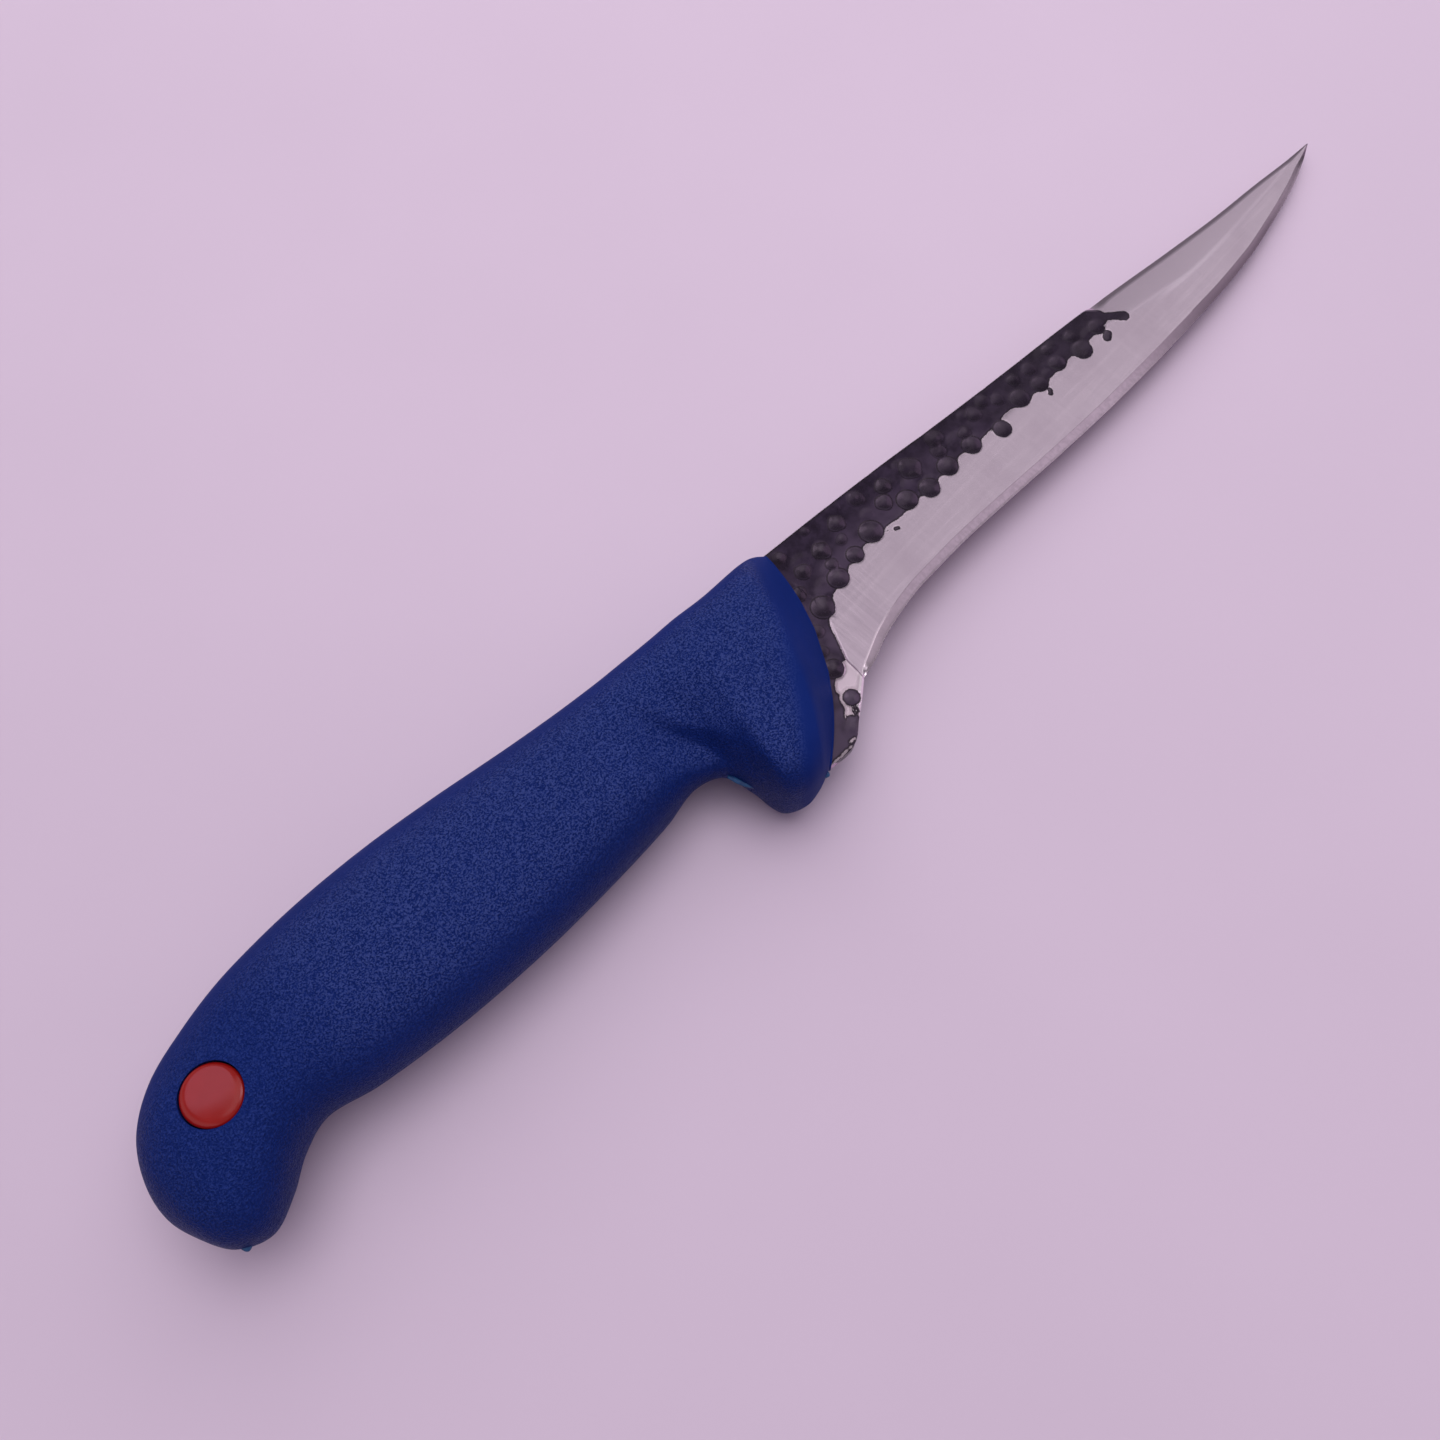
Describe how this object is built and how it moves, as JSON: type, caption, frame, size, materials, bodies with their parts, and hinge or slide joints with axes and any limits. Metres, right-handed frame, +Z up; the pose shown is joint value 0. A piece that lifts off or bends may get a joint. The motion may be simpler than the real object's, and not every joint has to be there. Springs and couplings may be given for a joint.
{
  "type": "boning knife",
  "caption": "Curved boning knife with a hammered, satin-ground blade and a moulded blue handle with a finger guard, a pommel hook and round red plugs.",
  "frame": {"origin": "under the middle of the knife's box, on the surface that it lies on", "axes": "+X from pommel to tip, +Y from edge to spine, +Z up through the knife's thickness as it lies on its side"},
  "size_m": [0.2842, 0.0482, 0.022],
  "materials": {
    "blade_steel": "satin ground below, hammered black forge scale above",
    "handle_plastic": "fine leather grain from the mould",
    "plug_plastic": "glossy, slightly domed"
  },
  "bodies": {
    "root": {"blade": "blade_steel", "handle": "handle_plastic", "plug_near": "plug_plastic", "plug_far": "plug_plastic"}
  },
  "joints": []
}
